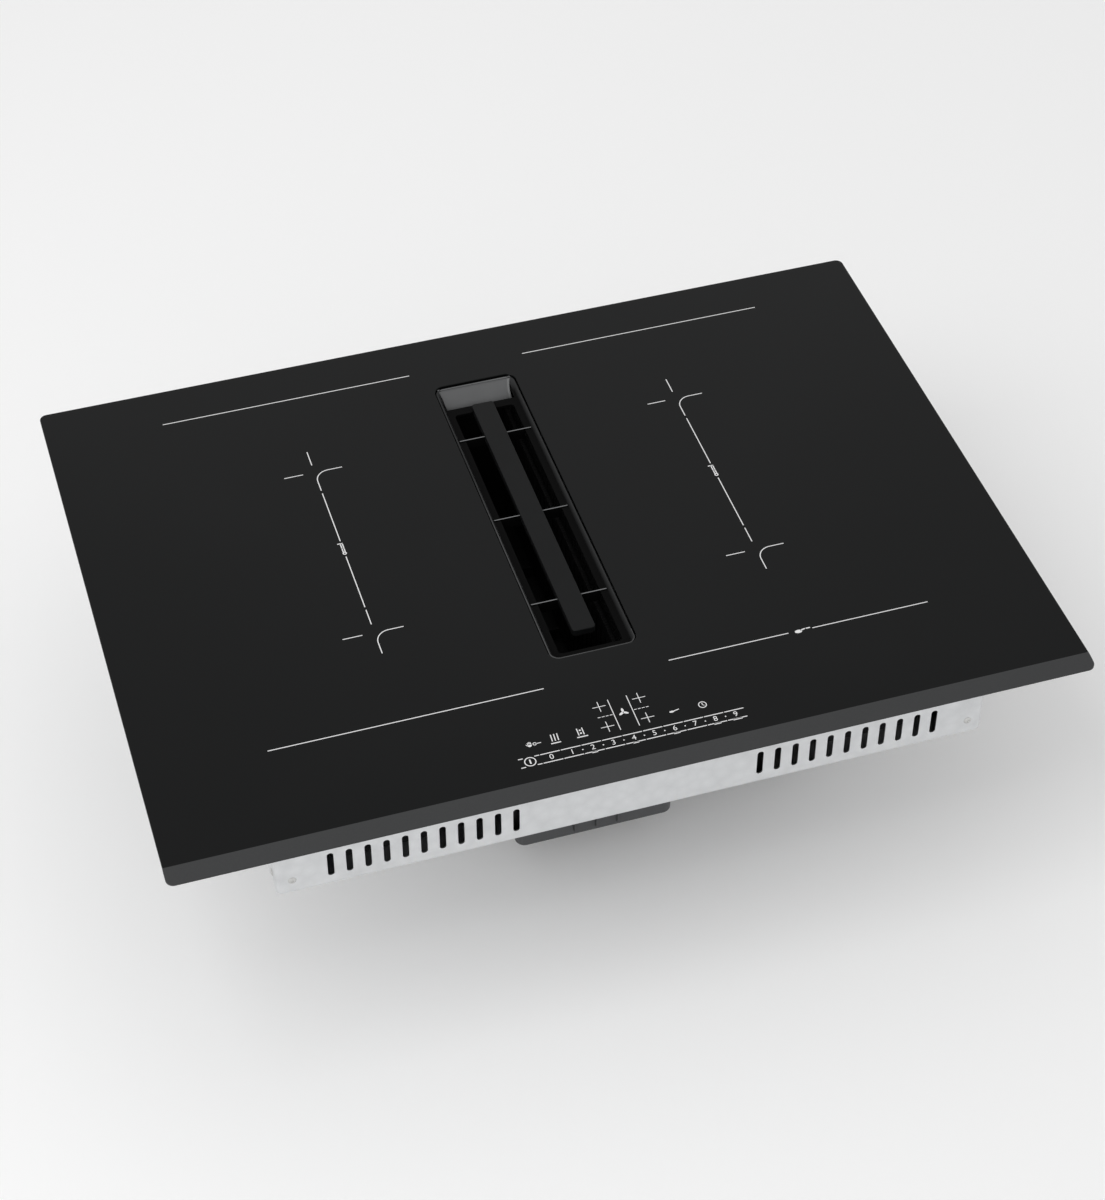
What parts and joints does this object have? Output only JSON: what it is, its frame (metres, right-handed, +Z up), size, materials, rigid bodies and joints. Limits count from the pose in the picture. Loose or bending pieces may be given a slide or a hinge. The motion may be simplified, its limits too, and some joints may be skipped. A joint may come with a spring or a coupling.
{
  "type": "downdraft induction cooktop",
  "caption": "Wide black glass induction cooktop with a slotted central downdraft inlet, lift-out grille and filter unit, and a fan, duct outlet and overflow tank below.",
  "frame": {"origin": "under the middle of the glass, at the level of the feet and the tank bay that the unit stands on", "axes": "+X to the user's right, +Y to the rear, +Z up; the user stands on the -Y side"},
  "size_m": [0.71, 0.522, 0.228],
  "materials": {
    "glass_ceramic": "polished, opaque black",
    "seal_foam": "soft, matt",
    "tray_steel": "galvanised sheet",
    "frame_aluminium": "mill finish",
    "fixings": "zinc plated",
    "spring_steel": "bright strip",
    "black_polymer": "fine texture",
    "grille_metal": "satin black",
    "deflector_metal": "satin grey",
    "filter_steel": "dark-coated stainless mesh",
    "box_polymer": "moulded, matt",
    "tank_polymer": "moulded, matt",
    "carbon_cassette": "coarse carbon behind a grid",
    "motor_paint": "satin",
    "shaft_steel": "ground",
    "wheel_polymer": "moulded",
    "coil_copper": "lacquered winding",
    "former_polymer": "moulded, natural",
    "ferrite": "sintered",
    "mica": "pressed sheet",
    "sensor_polymer": "moulded",
    "circuit_board": "solder mask",
    "heatsink_aluminium": "extruded",
    "component_polymer": "moulded",
    "blower_polymer": "moulded",
    "terminal_polymer": "moulded"
  },
  "bodies": {
    "housing": {"base_tray": "tray_steel", "board_standoffs": "fixings", "box_screws": "fixings", "cable_gland": "terminal_polymer", "carrier_springs": "spring_steel", "centring_springs": "spring_steel", "coil_carrier_left": "frame_aluminium", "coil_carrier_right": "frame_aluminium", "coil_formers": "former_polymer", "cooler_housing_left": "blower_polymer", "cooler_housing_right": "blower_polymer", "drain_tube": "box_polymer", "duct_spigot": "box_polymer", "fan_deck": "box_polymer", "fan_motor": "motor_paint", "ferrite_bars": "ferrite", "frame_screws": "fixings", "glass_frame": "frame_aluminium", "glass_top": "glass_ceramic", "heatsink_left": "heatsink_aluminium", "heatsink_right": "heatsink_aluminium", "induction_coil_left_front": "coil_copper", "induction_coil_left_rear": "coil_copper", "induction_coil_right_front": "coil_copper", "induction_coil_right_rear": "coil_copper", "inlet_shaft": "black_polymer", "light_guides": "sensor_polymer", "mains_board": "circuit_board", "mains_parts": "component_polymer", "mica_sheet_left": "mica", "mica_sheet_right": "mica", "motor_plate": "tray_steel", "odour_filter_left_front": "carbon_cassette", "odour_filter_left_rear": "carbon_cassette", "odour_filter_right_front": "carbon_cassette", "odour_filter_right_rear": "carbon_cassette", "plenum_pan": "box_polymer", "power_board_left": "circuit_board", "power_board_right": "circuit_board", "power_parts_left": "component_polymer", "power_parts_right": "component_polymer", "scroll_housing": "box_polymer", "terminal_block": "terminal_polymer", "touch_board": "circuit_board", "touch_holder": "black_polymer", "well_gasket": "seal_foam", "worktop_seal": "seal_foam", "zone_sensors": "sensor_polymer"},
    "filter_unit": {"filter_frame": "black_polymer", "grease_filter_left": "filter_steel", "grease_filter_right": "filter_steel"},
    "inlet_grille": {"grille_frame": "grille_metal", "grille_bar": "grille_metal", "end_deflector": "deflector_metal"},
    "fan_rotor": {"fan_wheel": "wheel_polymer", "motor_shaft": "shaft_steel"},
    "cooler_rotor_left": {"cooler_wheel_left": "wheel_polymer"},
    "cooler_rotor_right": {"cooler_wheel_right": "wheel_polymer"},
    "tank": {"overflow_tank": "tank_polymer", "tank_lid": "tank_polymer"}
  },
  "joints": [
    {"name": "filter_lift", "type": "slide", "parent": "housing", "child": "filter_unit", "axis": [0, 0, 1], "range_m": [0, 0.17]},
    {"name": "grille_lift", "type": "slide", "parent": "filter_unit", "child": "inlet_grille", "axis": [0, 0, 1], "range_m": [0, 0.06]},
    {"name": "fan_spin", "type": "hinge", "parent": "housing", "child": "fan_rotor", "pos_m": [0.157, -0.01, 0.1125], "axis": [0, 0, 1], "continuous": true},
    {"name": "cooler_spin_left", "type": "hinge", "parent": "housing", "child": "cooler_rotor_left", "pos_m": [-0.19, -0.178, 0.175], "axis": [0, 0, 1], "continuous": true},
    {"name": "cooler_spin_right", "type": "hinge", "parent": "housing", "child": "cooler_rotor_right", "pos_m": [0.19, -0.178, 0.175], "axis": [0, 0, 1], "continuous": true},
    {"name": "tank_drop", "type": "slide", "parent": "housing", "child": "tank", "axis": [0, 0, -1], "range_m": [0, 0.05]}
  ]
}
